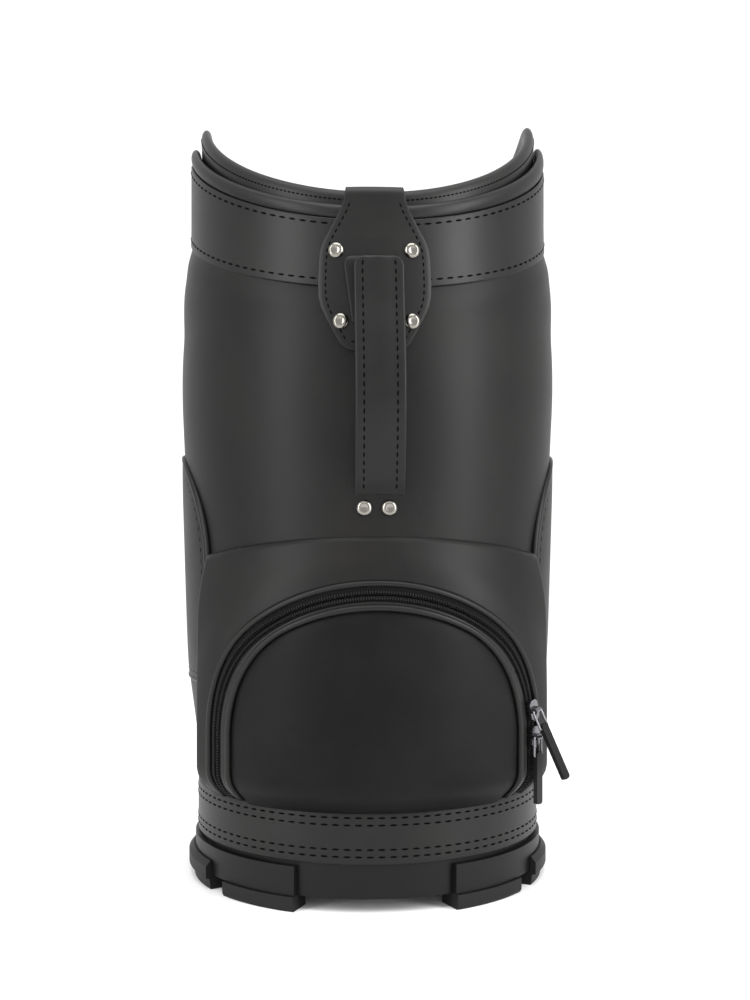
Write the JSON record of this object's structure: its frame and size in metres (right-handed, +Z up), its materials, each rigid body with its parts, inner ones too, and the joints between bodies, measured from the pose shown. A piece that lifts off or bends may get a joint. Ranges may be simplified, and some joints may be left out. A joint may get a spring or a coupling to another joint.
{
  "type": "mini golf staff bag",
  "caption": "Small round staff bag with a saddle-shaped padded collar, riveted front handle, arched zipped ball pocket, side pockets and a footed base.",
  "frame": {"origin": "on the bag's axis, at the level that the feet stand on", "axes": "+Z up, front with the ball pocket and handle towards -Y, +X to the right as seen from the front"},
  "size_m": [0.211, 0.2292, 0.419],
  "materials": {
    "leather": "satin pebbled polyurethane leather",
    "lining": "plain woven nylon",
    "foam": "foam sheet",
    "board": "hard board",
    "tube_plastic": "rolled plastic sheet",
    "moulded_plastic": "fine-grained moulding",
    "foot_rubber": "matt rubber",
    "nickel": "bright nickel plate",
    "steel": "zinc plate",
    "gunmetal": "dark gunmetal plate",
    "pull_tab": "moulded soft plastic",
    "zip_tape": "woven zip tape",
    "zip_coil": "nylon coil"
  },
  "bodies": {
    "root": {"base_cup": "moulded_plastic", "base_guard_left": "moulded_plastic", "base_guard_right": "moulded_plastic", "foot_front_left": "foot_rubber", "foot_front_right": "foot_rubber", "foot_side_left": "foot_rubber", "foot_side_right": "foot_rubber", "foot_rear_left": "foot_rubber", "foot_rear_right": "foot_rubber", "base_screws": "steel", "floor_board": "board", "floor_pad": "lining", "base_band": "leather", "tube": "tube_plastic", "tube_lining": "lining", "body_foam": "foam", "body_leather": "leather", "back_seam_strip": "leather", "collar_core": "tube_plastic", "collar_band": "leather", "collar_roll": "leather", "collar_lip": "leather", "divider_main": "lining", "divider_left": "lining", "divider_right": "lining", "shield_tab": "leather", "shield_rivets": "nickel", "handle_strap": "leather", "handle_pad": "leather", "handle_rivets": "nickel", "rivet_burrs": "steel", "pocket_gusset": "leather", "pocket_lining": "lining", "pocket_welt": "leather", "zip_tape_outer": "zip_tape", "zip_coil_outer": "zip_coil", "side_pocket_left": "leather", "side_lining_left": "lining", "side_zip_left": "zip_coil", "side_pocket_right": "leather", "side_lining_right": "lining", "side_zip_right": "zip_coil"},
    "door": {"pocket_door": "leather", "door_piping": "leather", "zip_tape_inner": "zip_tape", "zip_coil_inner": "zip_coil"},
    "upper_slider_body": {"upper_slider": "gunmetal"},
    "upper_pull": {"upper_pull_ring": "gunmetal", "upper_pull_tab": "pull_tab"},
    "lower_slider_body": {"lower_slider": "gunmetal"},
    "lower_pull": {"lower_pull_ring": "gunmetal", "lower_pull_tab": "pull_tab"},
    "side_slider_left": {"side_left_slider": "gunmetal"},
    "side_pull_left": {"side_left_pull_ring": "gunmetal", "side_left_pull_tab": "pull_tab"},
    "side_slider_right": {"side_right_slider": "gunmetal"},
    "side_pull_right": {"side_right_pull_ring": "gunmetal", "side_right_pull_tab": "pull_tab"}
  },
  "joints": [
    {"name": "pocket_door_hinge", "type": "hinge", "parent": "root", "child": "door", "pos_m": [0, -0.1062, 0.0579], "axis": [1, 0, 0], "range_deg": [0, 85]},
    {"name": "upper_slider_slide", "type": "slide", "parent": "root", "child": "upper_slider_body", "axis": [-0.1915, -0.2018, 0.9605], "range_m": [0, 0.012]},
    {"name": "upper_pull_swing", "type": "hinge", "parent": "upper_slider_body", "child": "upper_pull", "pos_m": [0.08421, -0.07993, 0.1], "axis": [-0.6613, -0.6967, -0.2782], "range_deg": [0, 120]},
    {"name": "lower_slider_slide", "type": "slide", "parent": "root", "child": "lower_slider_body", "axis": [0, 0, -1], "range_m": [0, 0.01]},
    {"name": "lower_pull_swing", "type": "hinge", "parent": "lower_slider_body", "child": "lower_pull", "pos_m": [0.085, -0.07909, 0.086], "axis": [-0.6812, -0.7321, 0], "range_deg": [0, 25]},
    {"name": "side_slider_left_slide", "type": "slide", "parent": "root", "child": "side_slider_left", "axis": [0.0291, -0.0095, -0.9995], "range_m": [0, 0.066]},
    {"name": "side_pull_left_swing", "type": "hinge", "parent": "side_slider_left", "child": "side_pull_left", "pos_m": [-0.10309, 0.0335, 0.19787], "axis": [0.309, 0.9511, 0], "range_deg": [0, 150]},
    {"name": "side_slider_right_slide", "type": "slide", "parent": "root", "child": "side_slider_right", "axis": [-0.0291, -0.0095, -0.9995], "range_m": [0, 0.066]},
    {"name": "side_pull_right_swing", "type": "hinge", "parent": "side_slider_right", "child": "side_pull_right", "pos_m": [0.10309, 0.0335, 0.19787], "axis": [0.309, -0.9511, 0], "range_deg": [0, 150]}
  ]
}
